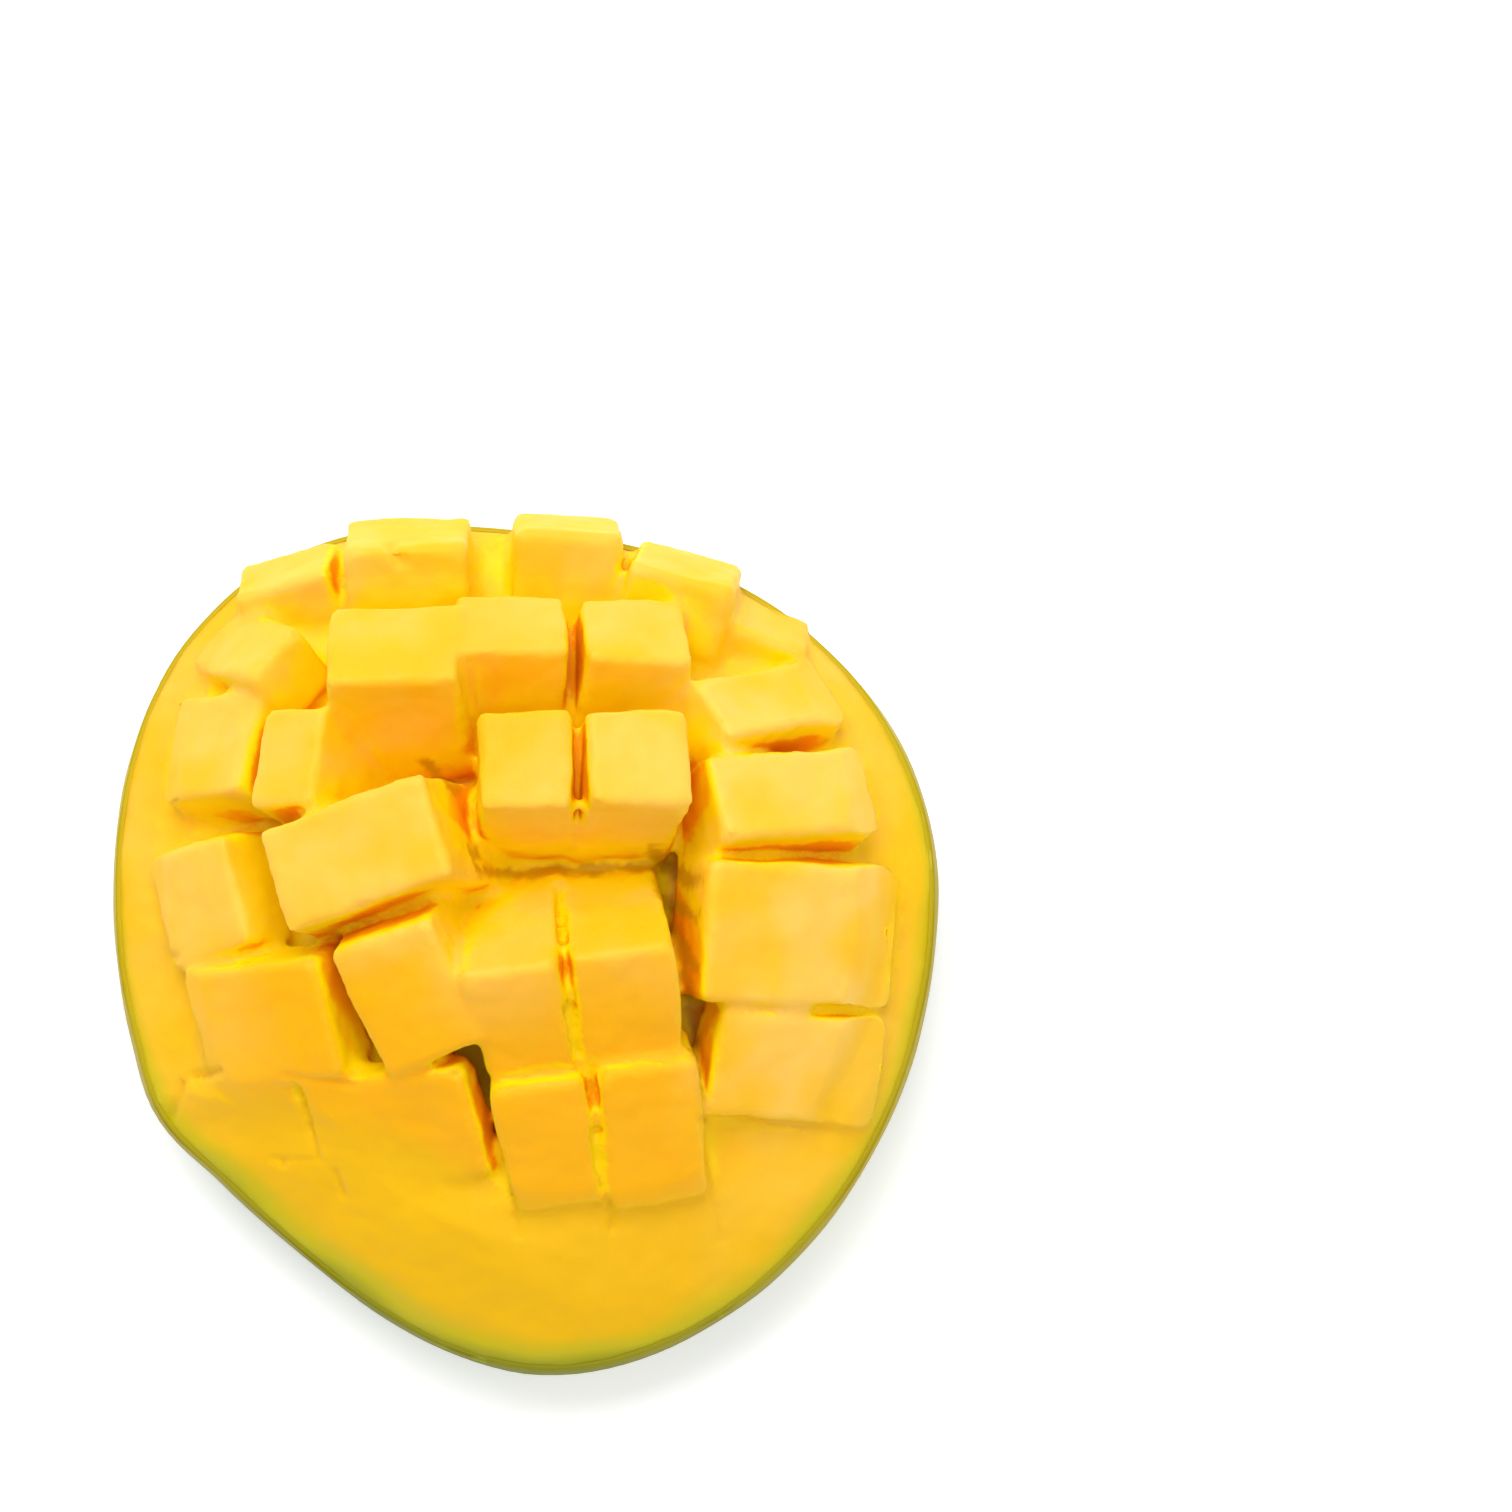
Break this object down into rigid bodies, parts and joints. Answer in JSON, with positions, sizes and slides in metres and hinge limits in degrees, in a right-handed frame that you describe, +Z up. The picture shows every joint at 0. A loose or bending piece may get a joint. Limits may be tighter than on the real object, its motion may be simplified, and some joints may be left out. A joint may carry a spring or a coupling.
{
  "type": "cubed mango half",
  "caption": "Mango half scored into cubes and turned out from behind, so that the cubes fan apart over a low dome with its peel beneath.",
  "frame": {"origin": "middle of the underside of the part's box, on the table that the turned-under peel rests on", "axes": "+Z up out of the cubes, +Y towards the fruit's broad end, +X to the right as the cubes are seen with the broad end away"},
  "size_m": [0.0968, 0.1012, 0.0405],
  "materials": {
    "mango_flesh": "moist"
  },
  "bodies": {
    "root": {"mango_half": "mango_flesh"}
  },
  "joints": []
}
